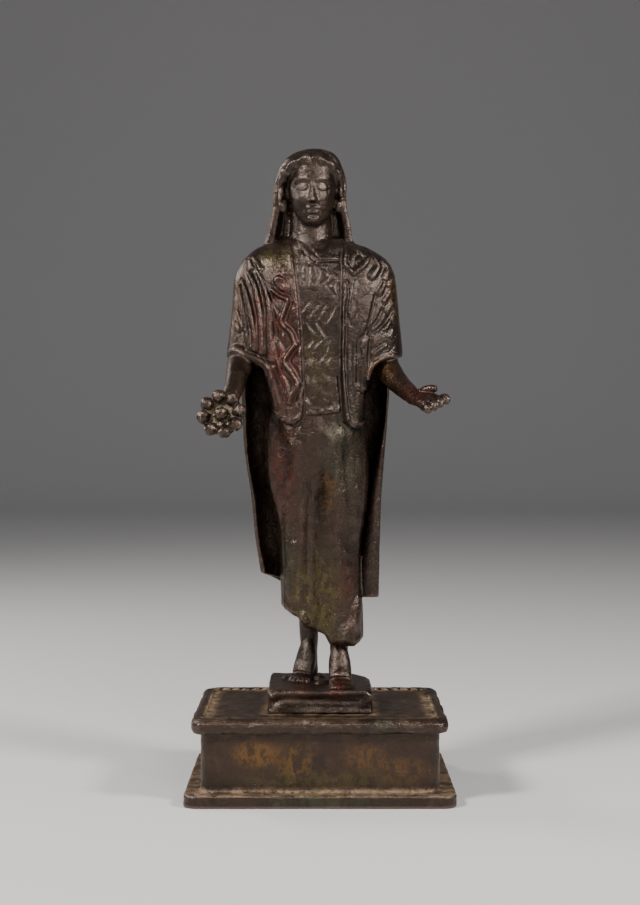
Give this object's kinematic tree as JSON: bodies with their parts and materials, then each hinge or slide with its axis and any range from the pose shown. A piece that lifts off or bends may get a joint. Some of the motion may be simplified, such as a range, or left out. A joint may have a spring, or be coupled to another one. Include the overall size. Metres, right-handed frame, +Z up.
{
  "type": "votive figure",
  "caption": "Standing draped female votive figure in cast bronze, holding out a rosette and an open hand, on a moulded rectangular pedestal.",
  "frame": {"origin": "middle of the pedestal's underside", "axes": "+Z up along the standing figure, -Y the way it faces, +X to the right of someone who looks at its face"},
  "size_m": [0.0858, 0.0693, 0.211],
  "materials": {
    "figure_bronze": "cast bronze, dark brown patina with red-brown and olive areas, fine pitting, worn sheen",
    "base_bronze": "cast bronze, dull dark brown patina with ochre and pale tan encrustation"
  },
  "bodies": {
    "root": {"figure": "figure_bronze", "base": "base_bronze"}
  },
  "joints": []
}
